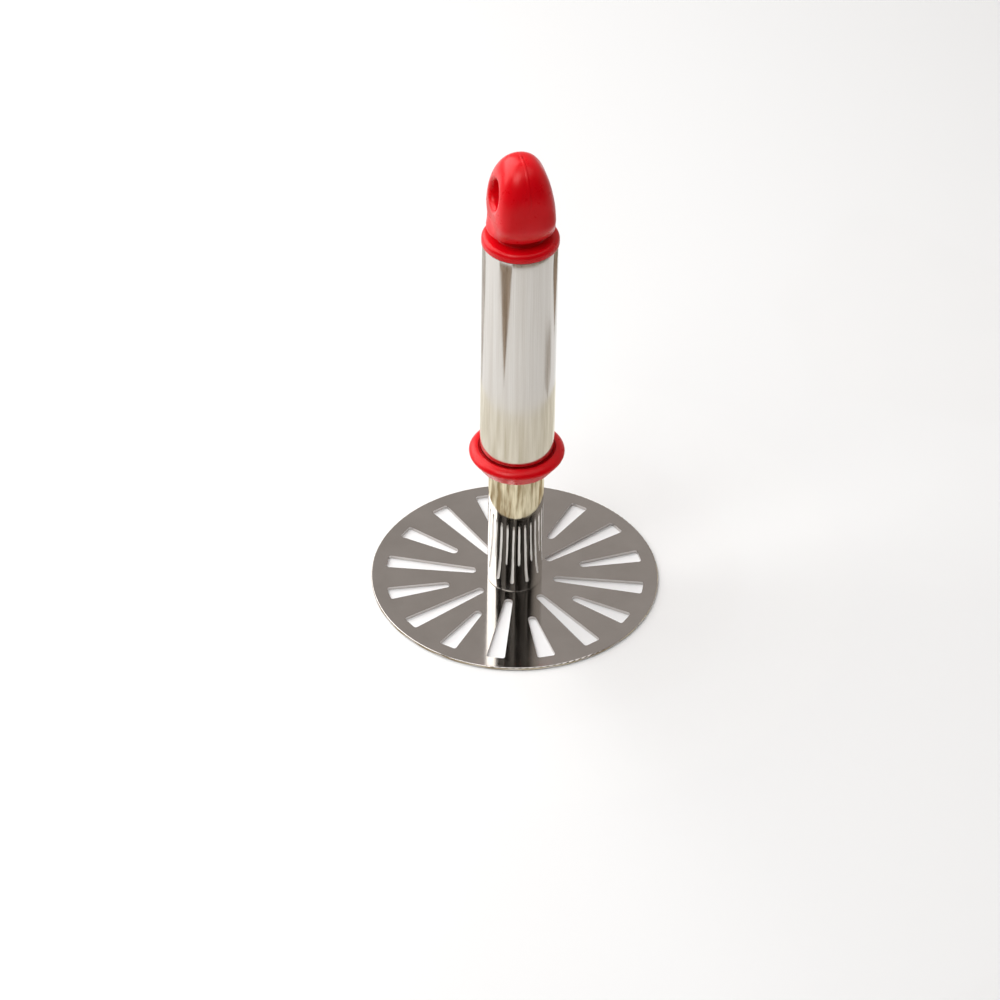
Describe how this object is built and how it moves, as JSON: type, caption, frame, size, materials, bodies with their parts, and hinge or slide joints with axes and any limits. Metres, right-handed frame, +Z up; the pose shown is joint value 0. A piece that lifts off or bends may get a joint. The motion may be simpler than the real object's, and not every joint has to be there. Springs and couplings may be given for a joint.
{
  "type": "potato masher",
  "caption": "Potato masher: flat disc with radial slots, stepped tube handle with a guard collar, and a moulded end cap with a flange and a hanging loop.",
  "frame": {"origin": "centre of the disc's flat underside, on the axis of the handle", "axes": "+Z up the handle to the hanging loop, +X along one of the disc's long slots; the hanging hole's axis is level, 22.5 degrees from +X towards +Y"},
  "size_m": [0.1, 0.1, 0.1781],
  "materials": {
    "disc_steel": "semi-bright rolled stainless steel",
    "shaft_steel": "mirror-polished stainless steel",
    "grip_steel": "satin-polished stainless steel",
    "inner_steel": "plain stainless steel",
    "red_plastic": "glossy moulded plastic"
  },
  "bodies": {
    "root": {"mashing_disc": "disc_steel", "foot_cup": "inner_steel", "disc_rivets": "inner_steel", "shaft_tube": "shaft_steel", "grip_tube": "grip_steel", "collar": "red_plastic", "collar_pin": "inner_steel", "loop_cap": "red_plastic"}
  },
  "joints": []
}
